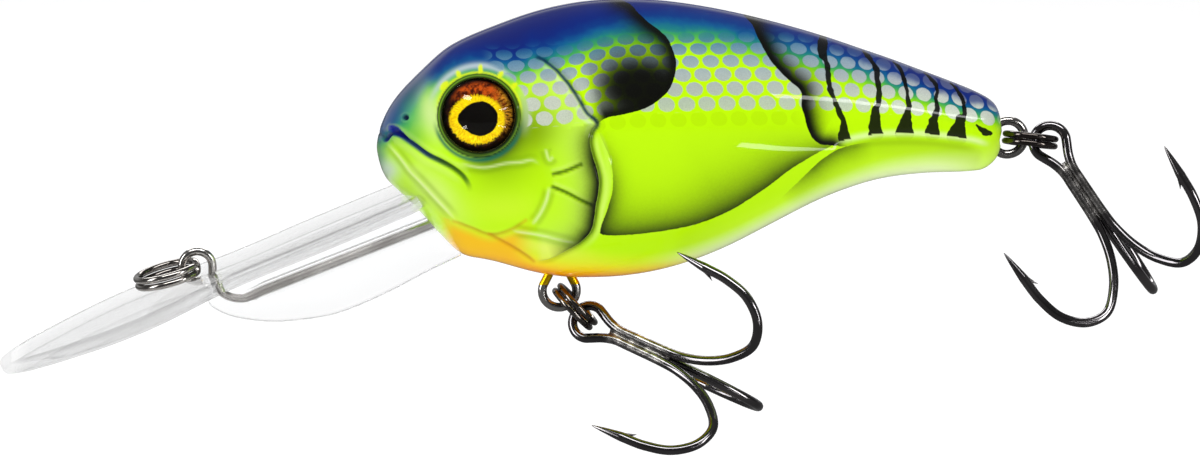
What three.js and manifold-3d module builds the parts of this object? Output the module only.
// Deep-diving crankbait: two hollow body halves, a clear diving lip moulded round the line-tie wire,
// two wire hangers, three split rings, two treble hooks, domed eyes, a weight and three rattle balls.
// Frame (mm): X runs from the lip towards the tail, Y across the body (left is -Y), +Z to the back.
// Dimensions are laid out from a point on the joint plane between the halves, at half the body's
// length and at about the tail eye's height; the finished pieces are then moved so that ORIGIN,
// on the line ring's flat face, is at zero.
import * as THREE from "three";
import { mergeVertices } from "three/addons/utils/BufferGeometryUtils.js";
import Module from "manifold-3d";

const wasm = await Module();
wasm.setup();
const { Manifold, Mesh: SolidMesh } = wasm;

const V = (x, y, z) => new THREE.Vector3(x, y, z);
const rad = (degrees) => (degrees * Math.PI) / 180;
const Y = V(0, 1, 0);

// ---------------------------------------------------------------- driving dimensions (mm)
const ORIGIN = V(-53.094, 0, -11.134);
const GAP = 0.05; // clearance between fixed pieces
const SPLIT_GAP = 0.02; // each half stops this far from the joint plane

const HEAD_X = -30.12;
const TAIL_X = 29.9;
const WALL = 1.4;
const SECTION_POWER = 2.15; // superellipse exponent of the body's sections
// back outline on the joint plane: x, z
const BACK = [
  [HEAD_X, 0.9], [-29.98, 1.76], [-29.5, 3.29], [-28.63, 4.92], [-27.48, 6.34], [-25.75, 8.04],
  [-24.6, 9.13], [-23.44, 10.12], [-22.29, 10.77], [-20.85, 11.42], [-18.45, 12.33],
  [-15.56, 13.34], [-12.68, 14.05], [-9.8, 14.47], [-6.92, 14.61], [-4.04, 14.5],
  [-1.15, 14.16], [1.73, 13.66], [4.61, 13.03], [7.49, 12.29], [10.38, 11.46], [13.26, 10.54],
  [16.14, 9.51], [19.02, 8.49], [21.91, 7.37], [24.79, 6.25], [27.19, 5.24], [28.44, 4.59],
  [29.21, 3.95], [29.59, 3.17], [TAIL_X, 1.2],
];
// belly outline on the joint plane: x, z
const BELLY = [
  [HEAD_X, 0.7], [-29.98, -0.17], [-29.5, -1.72], [-28.05, -3.39], [-26.9, -4.47],
  [-25.75, -5.75], [-24.6, -7.13], [-23.44, -8.4], [-22.48, -9.39], [-21.71, -9.79],
  [-20.37, -9.96], [-18.45, -10.44], [-16.53, -11.05], [-14.12, -11.66], [-11.24, -12.02],
  [-8.36, -12.03], [-5.48, -11.8], [-2.59, -11.28], [0.29, -10.42], [3.17, -9.28],
  [6.05, -7.84], [8.94, -6.35], [11.82, -4.92], [14.7, -3.82], [17.58, -3.01], [20.46, -2.63],
  [23.35, -2.5], [25.75, -2.52], [27.67, -2.44], [28.82, -1.83], [29.4, -1.17], [29.69, -0.4],
  [TAIL_X, 0.9],
];
// x, half width
const HALF_WIDTH = [
  [HEAD_X, 0], [-29.98, 1.3], [-29.5, 2.5], [-28.6, 3.75], [-27.4, 4.85], [-25.8, 5.9],
  [-24, 6.65], [-21.5, 7.35], [-18, 7.95], [-13, 8.5], [-7, 8.7], [-1, 8.5], [5, 7.9],
  [11, 6.9], [17, 5.6], [22, 4.45], [26, 3.5], [28.3, 2.75], [29.3, 2.0], [29.75, 1.1],
  [TAIL_X, 0],
];
// x, z of the widest line
const WIDEST = [
  [HEAD_X, 0.8], [-25, 1.0], [-20, 1.3], [-10, 1.5], [0, 1.4], [15, 1.1], [TAIL_X, 1.0],
];
// x of the sections that the body and its cavity are lofted through
const BODY_STATIONS = [
  -29.96, -29.4, -28.5, -27.3, -25.6, -23.6, -21.2, -18, -14, -9.5, -5, 0, 5, 10, 15, 20, 24,
  27, 28.6, 29.35, 29.76,
];
const CAVITY_STATIONS = [-21.4, -18, -13, -8, -3, 2, 7, 12, 17, 21.8];
const CAVITY_ENDS = [V(-21.41, 0, 1.4), V(21.81, 0, 1.2)];

const LIP_ANGLE = 21.97; // degrees below level, going forward
const LIP_TOP = { x: -29.3, z: -4.2 }; // a point of the plate's upper face on the joint plane
const LIP_THICK = 1.25;
const LIP_TIP_X = -66.2;
// x, half width of the plate, from inside the head to near the tip
const LIP_OUTLINE = [
  [-23.2, 4.0], [-26.0, 4.3], [-27.4, 5.6], [-29.3, 5.8], [-33.5, 5.95], [-37.7, 5.9],
  [-41, 5.6], [-43.9, 5.65], [-46.5, 6.2], [-49.2, 7.4], [-51.6, 8.2], [-54, 8.35],
  [-56.6, 7.9], [-59.2, 6.9], [-61.6, 5.7], [-63.8, 4.25], [-65.2, 2.8], [-65.9, 1.4],
];
// x, z of the keel's lower and rear edge
const KEEL = [
  [-46.3, -13.0], [-46.21, -13.95], [-45.16, -14.75], [-43.91, -15.27], [-41.99, -15.65],
  [-40.06, -15.83], [-38.33, -15.77], [-36.22, -15.57], [-34.11, -15.17], [-31.32, -14.16],
  [-28.44, -12.85], [-25.17, -11.17], [-22.2, -9.8], [-21.6, -9.0], [-21.6, -6.2], [-23.5, -3.4],
];
const KEEL_UPPER_X = [-24.2, -45.8]; // ends of the keel's edge inside the plate
const KEEL_SINK = 0.7; // that edge's depth below the plate's upper face
const KEEL_HALF = 0.5; // half thickness
const RIB_R = 0.88;

const TIE_WIRE = 0.4; // wire radius
const TIE_EYE = { x: -47.27, z: -10.33, r: 1.45 };
// x, z of the anchor hook inside the head, then of the rise through the plate
const TIE_ANCHOR = [[-20.6, -0.9], [-20.6, -2.4], [-21.0, -3.9], [-21.9, -4.95]];
const TIE_RUN_X = [-23.2, -25, -30, -36, -41];
const TIE_RISE = [[-42.9, -13.5], [-44.5, -13.2], [-45.45, -12.3], [-45.8, -11.3]];

// closed wire loop: eyeR and innerR are centre-line radii of its outer and inner ends;
// the two straight legs lie at ±leg, from legStart to innerSetback short of the inner centre
const HANGER = {
  wire: 0.43, eyeR: 1.64, innerR: 1.1, leg: 0.7, legStart: 2.45, innerSetback: 1.9,
};
const BELLY_EYE = V(-12.75, 0, -13.42);
const TAIL_EYE = V(30.5, 0, 0.65);
const BELLY_HANGER_LENGTH = 5.6; // between the centres of the two ends
const TAIL_HANGER_LENGTH = 5.9;
const TAIL_NOTCH = { r: 1.05, half: 4 };

// wire and coil radius, half the pitch, angle of the wire's first end in degrees
const HOOK_RING = { wire: 0.3, radius: 2.4, step: 0.34, start: 110, segments: 42 };
const LINE_RING = { wire: 0.325, radius: 2.92, step: 0.355, start: 200, segments: 44 };
const LINE_RING_TILT = 14.5; // degrees below level, going forward

// How a ring and hook hang from a hanger. Degrees: pitch is the ring plane's slope down towards
// the tail, the yaws turn ring and hook eye to the left in that plane, shank is the hook's slope.
// lean tips the ring's axis towards +Y; ringIn and hookIn shorten the two coil-radius steps.
const BELLY_HANG = {
  eye: BELLY_EYE, pitch: 47, lean: 0, ringYaw: 0, hookYaw: 33.6, ringIn: 0.2, hookIn: 0.3,
  shank: 25,
};
const TAIL_HANG = {
  eye: TAIL_EYE, pitch: 8, lean: 0.179, ringYaw: 26, hookYaw: 18.4, ringIn: 0.15, hookIn: 0.5,
  shank: 54.8,
};

const HOOK_WIRE = 0.46; // wire radius
const HOOK_EYE_R = 1.6;
const HOOK_POINT = { r: 0.05, length: 2.9, power: 0.75 }; // taper of the wire to its point
const LEG = 0.5; // each shank leg's distance from the middle of the double hook
const THIRD = 0.86; // the third shank's distance from the other two
const THIRD_START = 3.15; // where the third shank begins, along the shank
// distance out from the shank, distance along it
const HOOK_BEND = [
  [0.05, 8.2], [0.22, 10.2], [0.95, 12.7], [2.3, 15.0], [4.4, 16.75], [6.75, 16.55],
  [8.65, 14.85], [9.5, 12.3], [9.7, 9.8], [9.95, 6.8],
];
// from the eye to the shank: distance along, distance out
const HOOK_NECK = [[1.9, 0.86], [2.75, LEG + 0.1], [3.4, LEG]];
// tip height and set-back, then reach and half width of the base towards the point and the bend
const BARB = {
  height: 0.85, setback: 0.75, pointReach: 0.75, pointHalf: 0.18, bendReach: 0.35, bendHalf: 0.22,
};

// lean and tilt are the axis's forward and upward parts against `side` across; the gap lies
// under both the iris disc and the dome
const EYE = {
  x: -21.05, z: 4.97, socketR: 3.5, bossR: 4.5, discR: 3.42, disc: 0.4, dome: 1.25,
  depth: 1.3, gap: 0.04, side: 0.96, lean: 0.17, tilt: 0.21, sides: 24,
};
const BALLS = [
  { name: "rattle_ball_front", x: -5.2, z: -5.2, r: 2.0, reach: 5.5 },
  { name: "rattle_ball_middle", x: 2.4, z: -2.6, r: 1.6, reach: 5.2 },
  { name: "rattle_ball_rear", x: 9.2, z: 0.2, r: 1.6, reach: 4.6 },
];
const BALL_GAP = 0.17; // bore radius over ball radius
const BALL_BOSS = 1.05; // boss radius over ball radius
const BALLAST = { x: -18.55, z: -6.35, r: 2.3, length: 4.7, chamfer: 0.5 };
const PINS = [[-25.3, 3.6], [-11.5, 9.0], [15.2, 4.2]]; // x, z
const PIN_R = 0.8;
const PIN_BOSS_R = 1.7;
const INSIDE = 9; // half width that reaches past both walls
// solid blocks left in the cavity: x0, x1, y0, y1, z0, z1
const BLOCKS = [
  [-15.6, -10, -INSIDE, INSIDE, -12.5, -5.6], // belly hanger
  [-21.5, -15.7, -INSIDE, INSIDE, -10.5, -3.6], // ballast
  [-21.5, -16.6, -2.2, 2.2, -8, 0.2], // line-tie anchor
];
// two frames that stiffen the walls
const FRAMES = [
  [-1.6, -0.6, -INSIDE, INSIDE, -13, 15],
  [12.2, 13.1, -INSIDE, INSIDE, -13, 15],
];

// ---------------------------------------------------------------- materials
const SHELL = { color: 0xb9e412, roughness: 0.28, metalness: 0 };
const CLEAR_LIP = {
  color: 0xf2f5f5, roughness: 0.05, metalness: 0, transparent: true, opacity: 0.3,
};
const CLEAR_DOME = {
  color: 0xffffff, roughness: 0.03, metalness: 0, transparent: true, opacity: 0.25,
};
const WIRE = { color: 0xb8b6b2, roughness: 0.3, metalness: 1 };
const IRIS = { color: 0xb06a12, roughness: 0.4, metalness: 0.3 };
const WEIGHT = { color: 0x777a80, roughness: 0.5, metalness: 0.9 };
const LINE_RING_METAL = { color: 0x8f8a86, roughness: 0.25, metalness: 1 };
const HOOK_RING_METAL = { color: 0x4a4744, roughness: 0.2, metalness: 1 };
const HOOK_METAL = { color: 0x2b2a2e, roughness: 0.2, metalness: 1 };
const BALL_METAL = { color: 0xc9c9cc, roughness: 0.15, metalness: 1 };

// ---------------------------------------------------------------- curves and directions
const along = (point, direction, distance) => point.clone().addScaledVector(direction, distance);
// a unit vector towards the tail, tipped down by some degrees, and the upward one square to it
const slope = (degrees) => V(Math.cos(rad(degrees)), 0, -Math.sin(rad(degrees)));
const slopeUp = (degrees) => V(Math.sin(rad(degrees)), 0, Math.cos(rad(degrees)));

// monotone cubic through rows of x, y
function monotone(rows) {
  const xs = rows.map((row) => row[0]);
  const ys = rows.map((row) => row[1]);
  const last = rows.length - 1;
  const steps = xs.slice(1).map((x, i) => x - xs[i]);
  const grades = steps.map((step, i) => (ys[i + 1] - ys[i]) / step);
  const slopes = xs.map((_, i) => {
    if (i === 0) return grades[0];
    if (i === last) return grades[last - 1];
    const [before, after] = [grades[i - 1], grades[i]];
    if (before * after <= 0) return 0;
    const [stepBefore, stepAfter] = [steps[i - 1], steps[i]];
    return (3 * (stepBefore + stepAfter)) /
      ((2 * stepAfter + stepBefore) / before + (stepAfter + 2 * stepBefore) / after);
  });
  return (value) => {
    const x = Math.min(Math.max(value, xs[0]), xs[last]);
    let i = 0;
    while (i < last - 1 && x > xs[i + 1]) i++;
    const part = (x - xs[i]) / steps[i];
    const square = part * part;
    const cube = square * part;
    return (2 * cube - 3 * square + 1) * ys[i] +
      (cube - 2 * square + part) * steps[i] * slopes[i] +
      (3 * square - 2 * cube) * ys[i + 1] +
      (cube - square) * steps[i] * slopes[i + 1];
  };
}
const backAt = monotone(BACK);
const bellyAt = monotone(BELLY);
const halfWidthAt = monotone(HALF_WIDTH);
const widestAt = monotone(WIDEST);

// evenly spaced points on a smooth curve; a closed one doesn't repeat its first point
function smooth(points, count, closed = false) {
  const spaced = new THREE.CatmullRomCurve3(points, closed, "centripetal").getSpacedPoints(count);
  return closed ? spaced.slice(0, count) : spaced;
}

// ---------------------------------------------------------------- solids
function indexed(positions, index) {
  const geometry = new THREE.BufferGeometry();
  geometry.setAttribute("position", new THREE.Float32BufferAttribute(positions, 3));
  geometry.setIndex(index);
  return geometry;
}

// welds a geometry and turns it into a solid, whichever way its faces wind
function solid(geometry) {
  for (const key of Object.keys(geometry.attributes)) {
    if (key !== "position") geometry.deleteAttribute(key);
  }
  const welded = mergeVertices(geometry, 1e-5);
  const index = Array.from(welded.index.array);
  const triangles = [];
  for (let i = 0; i < index.length; i += 3) {
    const corners = index.slice(i, i + 3);
    if (new Set(corners).size === 3) triangles.push(corners);
  }
  const build = (faces) => new Manifold(new SolidMesh({
    numProp: 3,
    vertProperties: new Float32Array(welded.attributes.position.array),
    triVerts: new Uint32Array(faces.flat()),
  }));
  const built = build(triangles);
  if (built.volume() >= 0) return built;
  return build(triangles.map(([first, second, third]) => [first, third, second]));
}
const solidOf = (points, faces) => solid(indexed(points.flatMap((p) => p.toArray()), faces.flat()));

function geometryOf(piece) {
  const { numProp, vertProperties, triVerts } = piece.getMesh();
  const positions = [];
  for (let i = 0; i < vertProperties.length; i += numProp) {
    positions.push(...vertProperties.slice(i, i + 3));
  }
  return indexed(positions, Array.from(triVerts));
}

const join = (...pieces) => pieces.reduce((sum, piece) => sum.add(piece));
const place = (geometry, x, y, z) => solid(geometry.translate(x, y, z));

function box(x0, x1, y0, y1, z0, z1) {
  const geometry = new THREE.BoxGeometry(x1 - x0, y1 - y0, z1 - z0);
  return place(geometry, (x0 + x1) / 2, (y0 + y1) / 2, (z0 + z1) / 2);
}

// a cylinder along Y
function across(x, z, radius, y0, y1, sides) {
  return place(new THREE.CylinderGeometry(radius, radius, y1 - y0, sides), x, (y0 + y1) / 2, z);
}

// skins a row of equal rings; without end points the last ring joins the first
function skin(rings, ends) {
  const count = rings[0].length;
  const points = rings.flat();
  const faces = [];
  for (let i = 0; i < (ends ? rings.length - 1 : rings.length); i++) {
    const here = i * count;
    const there = ((i + 1) % rings.length) * count;
    for (let j = 0; j < count; j++) {
      const next = (j + 1) % count;
      faces.push([here + j, here + next, there + j], [here + next, there + next, there + j]);
    }
  }
  if (ends) {
    const first = points.length;
    const tail = first - count;
    points.push(...ends);
    for (let j = 0; j < count; j++) {
      const next = (j + 1) % count;
      faces.push([first, next, j], [first + 1, tail + j, tail + next]);
    }
  }
  return solidOf(points, faces);
}

// a wire along points; radius is one number or a list with one for each point,
// turn rotates the facets by a part of a facet, up sets where they start
function sweep(points, radius, sides, { closed = false, turn = 0, up = Y } = {}) {
  const count = points.length;
  const rings = points.map((point, i) => {
    const before = points[closed ? (i + count - 1) % count : Math.max(i - 1, 0)];
    const after = points[closed ? (i + 1) % count : Math.min(i + 1, count - 1)];
    const tangent = after.clone().sub(before).normalize();
    const side = along(up, tangent, -up.dot(tangent)).normalize();
    const other = tangent.clone().cross(side);
    const r = Array.isArray(radius) ? radius[i] : radius;
    return Array.from({ length: sides }, (_, j) => {
      const angle = ((j + turn) / sides) * Math.PI * 2;
      return along(along(point, side, r * Math.cos(angle)), other, r * Math.sin(angle));
    });
  });
  return skin(rings, closed ? null : [points[0].clone(), points[count - 1].clone()]);
}

// ---------------------------------------------------------------- hangers
// closed loop in the joint plane: a round eye outside and a smaller round end inside
function hangerLoop(eye, inward, length) {
  const { eyeR, innerR, leg, legStart, innerSetback } = HANGER;
  const side = V(-inward.z, 0, inward.x);
  const at = (depth, out) => along(along(eye, inward, depth), side, out);
  const legEnd = length - innerSetback;
  const points = [];
  for (let angle = -125; angle <= 125; angle += 15.625) {
    points.push(at(-eyeR * Math.cos(rad(angle)), eyeR * Math.sin(rad(angle))));
  }
  points.push(at(legStart, leg), at(legEnd, leg));
  for (let angle = 120; angle >= -120; angle -= 24) {
    points.push(at(length + innerR * Math.cos(rad(angle)), innerR * Math.sin(rad(angle))));
  }
  points.push(at(legEnd, -leg), at(legStart, -leg));
  return smooth(points, 44, true);
}
function hanger(eye, inward, length, extra) {
  const loop = hangerLoop(eye, inward, length);
  return sweep(loop, HANGER.wire + extra, 6, { closed: true, turn: 0.5 });
}
const bellyHanger = (extra) => hanger(BELLY_EYE, V(0, 0, 1), BELLY_HANGER_LENGTH, extra);
const tailHanger = (extra) => hanger(TAIL_EYE, V(-1, 0, 0), TAIL_HANGER_LENGTH, extra);

// ---------------------------------------------------------------- line tie
// anchor hook inside the head, straight run in the rib, up through the plate, round the eye
function tiePath() {
  const onPlane = ([x, z]) => V(x, 0, z);
  const run = TIE_RUN_X.map((x) => V(x, 0, -6.42 + 0.378 * (x + 24.21)));
  const points = [...TIE_ANCHOR.map(onPlane), ...run, ...TIE_RISE.map(onPlane)];
  const { x, z, r } = TIE_EYE;
  for (let angle = 0; angle <= 285; angle += 15) {
    points.push(V(x + r * Math.cos(rad(angle)), 0, z + r * Math.sin(rad(angle))));
  }
  return smooth(points, 60);
}

// the same path, longer by `extra` at both ends
function lengthen(points, extra) {
  const [first, second] = points;
  const [beforeLast, last] = points.slice(-2);
  return [
    along(first, first.clone().sub(second).normalize(), extra),
    ...points.slice(1, -1),
    along(last, last.clone().sub(beforeLast).normalize(), extra),
  ];
}
const tie = tiePath();
const tieWire = (extra) => sweep(lengthen(tie, extra), TIE_WIRE + extra, 6, { turn: 0.5 });

// ---------------------------------------------------------------- lip
function lipPlate(extra) {
  const run = (x) => (x - LIP_TOP.x) / Math.cos(rad(LIP_ANGLE));
  const edge = (side) => LIP_OUTLINE.map(([x, half]) =>
    new THREE.Vector2(run(x), side * (half + extra)));
  const tip = new THREE.Vector2(run(LIP_TIP_X), 0);
  const outline = [...edge(1), tip, ...edge(-1).reverse()];
  outline[0].x += extra;
  outline[outline.length - 1].x += extra;
  const geometry = new THREE.ExtrudeGeometry(new THREE.Shape(outline), {
    depth: LIP_THICK + 2 * extra, bevelEnabled: false, steps: 1,
  });
  // local x along the plate, local y across, local z up through its thickness
  const normal = slopeUp(-LIP_ANGLE);
  const corner = along(V(LIP_TOP.x, 0, LIP_TOP.z), normal, -LIP_THICK - extra);
  const frame = new THREE.Matrix4().makeBasis(slope(-LIP_ANGLE), Y, normal).setPosition(corner);
  return solid(geometry.applyMatrix4(frame));
}

// the web under the plate, in the joint plane; its upper edge runs inside the plate
function keel(extra) {
  const upper = (x) => LIP_TOP.z + Math.tan(rad(LIP_ANGLE)) * (x - LIP_TOP.x) - KEEL_SINK;
  const rows = [...KEEL, ...KEEL_UPPER_X.map((x) => [x, upper(x)])];
  const outline = rows.map(([x, z]) => new THREE.Vector2(x, z));
  for (const point of outline) {
    // clearance: the rear edge moves back, its upper points rise and all the others drop
    if (point.x > -21.7) point.x += extra;
    const rises = point.y > upper(point.x) - 3.2 && point.x > -24;
    point.y += rises ? extra : -extra;
  }
  const half = KEEL_HALF + extra;
  const geometry = new THREE.ExtrudeGeometry(new THREE.Shape(outline), {
    depth: 2 * half, bevelEnabled: false, steps: 1,
  });
  geometry.rotateX(Math.PI / 2); // local y becomes +Z, the depth runs along -Y
  return place(geometry, 0, half, 0);
}

// the part of the tie's path that the rib surrounds
const ribPath = tie.filter(
  (p) => p.x < -21.7 && p.z < -5 && !(p.x < -45.2 && p.z > -12),
);
const rib = (extra) => sweep(lengthen(ribPath, extra), RIB_R + extra, 8, { turn: 0.5 });
const lipBlank = (extra) => join(lipPlate(extra), keel(extra), rib(extra));

// ---------------------------------------------------------------- eyes
// stands a geometry that is round about Y on an eye's axis, its origin `height` above the skin;
// sign is -1 for the left eye, 1 for the right
function onEye(sign, geometry, height) {
  const widest = widestAt(EYE.x);
  const rise = (EYE.z - widest) / (backAt(EYE.x) - widest);
  const skinY = halfWidthAt(EYE.x) * (1 - rise ** SECTION_POWER) ** (1 / SECTION_POWER);
  const axis = V(-EYE.lean, sign * EYE.side, EYE.tilt).normalize();
  const centre = along(V(EYE.x, sign * skinY, EYE.z), axis, height);
  geometry.applyQuaternion(new THREE.Quaternion().setFromUnitVectors(Y, axis));
  return place(geometry, ...centre.toArray());
}
function eyeCylinder(sign, radius, from, to, sides) {
  const geometry = new THREE.CylinderGeometry(radius, radius, to - from, sides);
  return onEye(sign, geometry, (from + to) / 2);
}
const irisBase = -EYE.depth + EYE.gap;
const irisTop = irisBase + EYE.disc;
const iris = (sign) => eyeCylinder(sign, EYE.discR, irisBase, irisTop, EYE.sides);

function dome(sign) {
  const { dome: height, discR: radius } = EYE;
  const sphereR = (radius * radius + height * height) / (2 * height);
  const profile = [new THREE.Vector2(0, 0), new THREE.Vector2(radius, 0)];
  for (let i = 1; i < 4; i++) {
    const y = (height * i) / 4;
    profile.push(new THREE.Vector2(Math.sqrt(sphereR ** 2 - (sphereR - height + y) ** 2), y));
  }
  profile.push(new THREE.Vector2(0, height));
  return onEye(sign, new THREE.LatheGeometry(profile, EYE.sides), irisTop + EYE.gap);
}

// ---------------------------------------------------------------- ballast
// a chamfered cylinder along X
function ballast(extra) {
  const { chamfer } = BALLAST;
  const radius = BALLAST.r + extra;
  const half = BALLAST.length / 2 + extra;
  const profile = [
    [0, -half], [radius - chamfer, -half], [radius, -half + chamfer],
    [radius, half - chamfer], [radius - chamfer, half], [0, half],
  ].map(([x, y]) => new THREE.Vector2(x, y));
  const geometry = new THREE.LatheGeometry(profile, 18).rotateZ(Math.PI / 2);
  return place(geometry, BALLAST.x, 0, BALLAST.z);
}

// ---------------------------------------------------------------- body halves
// the body's section at x, drawn in by inset on every side
function section(x, inset, count) {
  const middle = widestAt(x);
  const above = backAt(x) - inset - middle;
  const below = middle - (bellyAt(x) + inset);
  const half = halfWidthAt(x) - inset;
  const bulge = (value) => Math.sign(value) * Math.abs(value) ** (2 / SECTION_POWER);
  return Array.from({ length: count }, (_, i) => {
    const angle = (i / count) * Math.PI * 2;
    const sine = Math.sin(angle);
    return V(x, half * bulge(Math.cos(angle)), middle + (sine >= 0 ? above : below) * bulge(sine));
  });
}
const loft = (stations, inset, count, ends) =>
  skin(stations.map((x) => section(x, inset, count)), ends);

function bosses() {
  return join(
    ...BLOCKS.map((block) => box(...block)),
    ...BALLS.map(({ x, z, r }) => across(x, z, r + BALL_BOSS, -INSIDE, INSIDE, 12)),
    ...PINS.map(([x, z]) => across(x, z, PIN_BOSS_R, -INSIDE, INSIDE, 8)),
    ...[-1, 1].map((sign) => eyeCylinder(sign, EYE.bossR, -2.6, 1, 18)),
    ...FRAMES.map((frame) => box(...frame)),
  );
}

// everything the fixed pieces, balls and eyes need cut out of the body
function cuts() {
  const { r: notchR, half } = TAIL_NOTCH;
  return join(
    bellyHanger(GAP),
    tailHanger(GAP),
    tieWire(GAP),
    ballast(GAP),
    lipBlank(GAP),
    across(TAIL_EYE.x, TAIL_EYE.z, notchR, -half, half, 14),
    ...BALLS.map(({ x, z, r, reach }) => across(x, z, r + BALL_GAP, -reach, reach, 14)),
    ...[-1, 1].map((sign) => eyeCylinder(sign, EYE.socketR, -EYE.depth, 4, EYE.sides)),
  );
}

// a cut can free crumbs of plastic; each half keeps its one large body
const biggest = (piece) => piece.decompose().sort((one, two) => two.volume() - one.volume())[0];

// pins on the right half enter holes in the left one
function bodyHalves() {
  const ends = [HEAD_X, TAIL_X].map((x) => V(x, 0, widestAt(x)));
  const outer = loft(BODY_STATIONS, 0, 28, ends);
  const cavity = loft(CAVITY_STATIONS, WALL, 16, CAVITY_ENDS).subtract(bosses());
  const hull = outer.subtract(cavity).subtract(cuts());
  let left = hull.intersect(box(-40, 40, -20, -SPLIT_GAP, -30, 30));
  let right = hull.intersect(box(-40, 40, SPLIT_GAP, 20, -30, 30));
  for (const [x, z] of PINS) {
    left = left.subtract(across(x, z, PIN_R + GAP, -2.1, 1, 12));
    right = right.add(across(x, z, PIN_R, -2.0, 1.5, 12));
  }
  return [biggest(left), biggest(right)];
}

// ---------------------------------------------------------------- split rings
// two turns (680 degrees) of one wire, lying flat on each other except where one steps up
function splitRing({ wire, radius, step, start, segments }, centre, zero, normal) {
  const quarter = normal.clone().cross(zero);
  const points = [];
  for (let i = 0; i <= segments; i++) {
    const turned = (i / segments) * 680;
    const angle = rad(turned + start);
    let lift = -Math.cos(((turned - 320) / 40) * Math.PI);
    if (turned < 320) lift = -1;
    if (turned > 360) lift = 1;
    points.push(centre.clone()
      .addScaledVector(zero, radius * Math.cos(angle))
      .addScaledVector(quarter, radius * Math.sin(angle))
      .addScaledVector(normal, step * lift));
  }
  return sweep(points, wire / Math.cos(Math.PI / 8), 8, { turn: 0.5, up: normal });
}

// lies forward over the lip, its wire through the middle of the line-tie eye
function lineRing() {
  const forward = slope(-LINE_RING_TILT).negate();
  const centre = along(V(TIE_EYE.x, 0, TIE_EYE.z), forward, LINE_RING.radius);
  return splitRing(LINE_RING, centre, forward, slopeUp(-LINE_RING_TILT));
}

// ---------------------------------------------------------------- treble hooks
// one hook's bend towards `out`, ending at its point
function bend(base, shank, out) {
  return smooth(HOOK_BEND.map(([off, down]) => along(along(base, shank, down), out, off)), 20);
}

// wire radius at each point, sharpened at the last end or at both
function tapered(points, bothEnds) {
  const lengths = [0];
  for (let i = 1; i < points.length; i++) {
    lengths.push(lengths[i - 1] + points[i].distanceTo(points[i - 1]));
  }
  const total = lengths[lengths.length - 1];
  return lengths.map((length) => {
    const fromTip = bothEnds ? Math.min(length, total - length) : total - length;
    const share = Math.min(1, fromTip / HOOK_POINT.length) ** HOOK_POINT.power;
    return HOOK_POINT.r + (HOOK_WIRE - HOOK_POINT.r) * share;
  });
}

// a small spur near the point, on the side of the shank
function barb(points, inward) {
  const foot = points.length - 4;
  const root = points[foot];
  const back = points[foot - 1].clone().sub(points[foot + 1]).normalize();
  const side = back.clone().cross(inward).normalize();
  const nearPoint = along(root, back, -BARB.pointReach);
  const nearBend = along(root, back, BARB.bendReach);
  const corners = [
    along(nearPoint, side, BARB.pointHalf),
    along(nearPoint, side, -BARB.pointHalf),
    along(nearBend, side, BARB.bendHalf),
    along(nearBend, side, -BARB.bendHalf),
    along(along(root, inward, BARB.height), back, BARB.setback),
  ];
  return solidOf(corners, [[0, 1, 4], [1, 3, 4], [3, 2, 4], [2, 0, 4], [0, 2, 3], [0, 3, 1]]);
}

// a double hook bent from one wire round the eye, and a single one on the +axis side of it
function treble(eye, shank, axis) {
  const across = axis.clone().cross(shank).normalize();
  const at = (down, out, third) =>
    along(along(along(eye, shank, down), across, out), axis, third);
  const outward = (side) => across.clone().multiplyScalar(side * Math.sin(rad(60)))
    .addScaledVector(axis, -0.5);
  const [outA, outB] = [outward(1), outward(-1)];
  const bendA = bend(at(0, LEG, 0), shank, outA);
  const bendB = bend(at(0, -LEG, 0), shank, outB);
  const neck = (side) => HOOK_NECK.map(([down, out]) => at(down, side * out, 0));
  const loop = [];
  for (let angle = 122; angle >= -122; angle -= 17.43) {
    loop.push(at(-HOOK_EYE_R * Math.cos(rad(angle)), HOOK_EYE_R * Math.sin(rad(angle)), 0));
  }
  const path = [...bendA.toReversed(), ...neck(1).reverse(), ...loop, ...neck(-1), ...bendB];
  const bendC = bend(at(0, 0, THIRD), shank, axis);
  const third = [at(THIRD_START, 0, THIRD), ...bendC];
  return {
    double: join(
      sweep(path, tapered(path, true), 6, { up: axis }),
      barb(bendA, outA.clone().negate()),
      barb(bendB, outB.clone().negate()),
    ),
    single: join(
      sweep(third, tapered(third, false), 6, { up: across }),
      barb(bendC, axis.clone().negate()),
    ),
  };
}

// a split ring in a hanger's eye, with the place and axis of the hook eye that hangs in it
function hang({ eye, pitch, lean, ringYaw, hookYaw, ringIn, hookIn }) {
  const down = slope(pitch);
  const normal = along(slopeUp(pitch), Y, lean).normalize();
  const yaw = (vector, degrees) => vector.clone().applyAxisAngle(normal, rad(-degrees));
  const centre = along(eye, yaw(down, ringYaw), HOOK_RING.radius - ringIn);
  return {
    ring: splitRing(HOOK_RING, centre, down, normal),
    hookEye: along(centre, yaw(down, hookYaw), HOOK_RING.radius - hookIn),
    hookAxis: yaw(normal.clone().cross(down).normalize(), hookYaw),
    normal,
  };
}

// belly: the shank turns to the left with the hook's eye
const belly = hang(BELLY_HANG);
const bellyShank = slope(BELLY_HANG.shank)
  .applyAxisAngle(belly.normal, rad(-BELLY_HANG.hookYaw));
const bellyHook = treble(belly.hookEye, bellyShank, belly.hookAxis);

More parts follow.
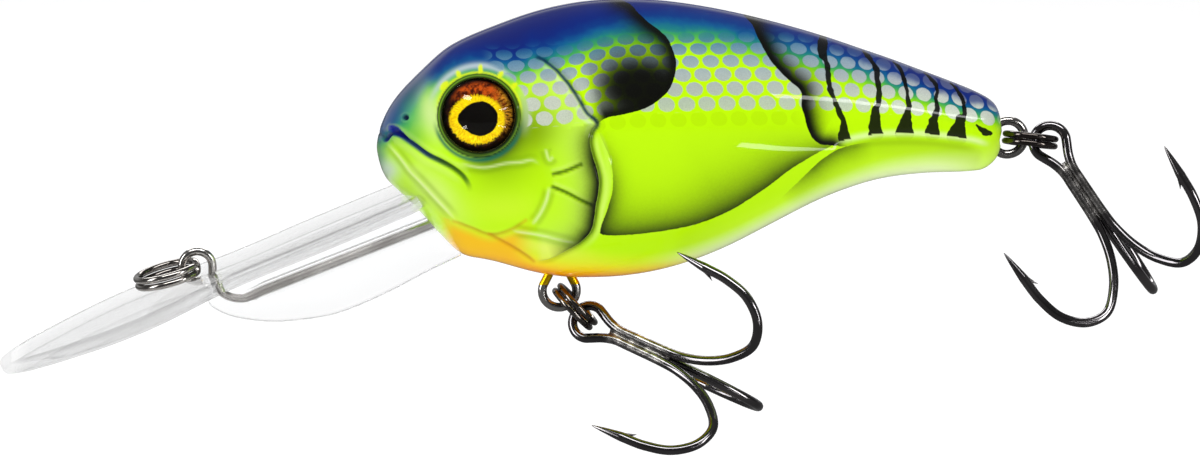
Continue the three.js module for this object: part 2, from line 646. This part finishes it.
// tail: the shank hangs down and back, squared to the axis of the hook's eye
const tail = hang(TAIL_HANG);
const tailSlope = slope(TAIL_HANG.shank);
const tailShank = along(tailSlope, tail.hookAxis, -tailSlope.dot(tail.hookAxis)).normalize();
const tailHook = treble(tail.hookEye, tailShank, tail.hookAxis);

// ---------------------------------------------------------------- the assembly
// a group of meshes from rows of name, solid, material settings
function groupOf(pieces) {
  const group = new THREE.Group();
  for (const [name, piece, look] of pieces) {
    const geometry = geometryOf(piece).translate(-ORIGIN.x, -ORIGIN.y, -ORIGIN.z);
    geometry.computeVertexNormals();
    const material = new THREE.MeshStandardMaterial({ flatShading: true, ...look });
    const mesh = new THREE.Mesh(geometry, material);
    mesh.name = name;
    group.add(mesh);
  }
  return group;
}

const [left, right] = bodyHalves();
const root = new THREE.Group();
root.name = "crankbait_lure";
root.add(
  groupOf([
    ["body_shell_left", left, SHELL],
    ["body_shell_right", right, SHELL],
    ["diving_lip", lipBlank(0).subtract(tieWire(GAP)), CLEAR_LIP],
    ["line_tie_wire", tieWire(0), WIRE],
    ["belly_hanger", bellyHanger(0), WIRE],
    ["tail_hanger", tailHanger(0), WIRE],
    ["left_eye_iris", iris(-1), IRIS],
    ["left_eye_dome", dome(-1), CLEAR_DOME],
    ["right_eye_iris", iris(1), IRIS],
    ["right_eye_dome", dome(1), CLEAR_DOME],
    ["ballast_weight", ballast(0), WEIGHT],
  ]),
  groupOf([["line_split_ring", lineRing(), LINE_RING_METAL]]),
  groupOf([
    ["belly_split_ring", belly.ring, HOOK_RING_METAL],
    ["belly_treble_double_hook", bellyHook.double, HOOK_METAL],
    ["belly_treble_single_hook", bellyHook.single, HOOK_METAL],
  ]),
  groupOf([
    ["tail_split_ring", tail.ring, HOOK_RING_METAL],
    ["tail_treble_double_hook", tailHook.double, HOOK_METAL],
    ["tail_treble_single_hook", tailHook.single, HOOK_METAL],
  ]),
  groupOf(BALLS.map(({ name, x, z, r }) =>
    [name, place(new THREE.IcosahedronGeometry(r, 2), x, 0, z), BALL_METAL])),
);

export default root;
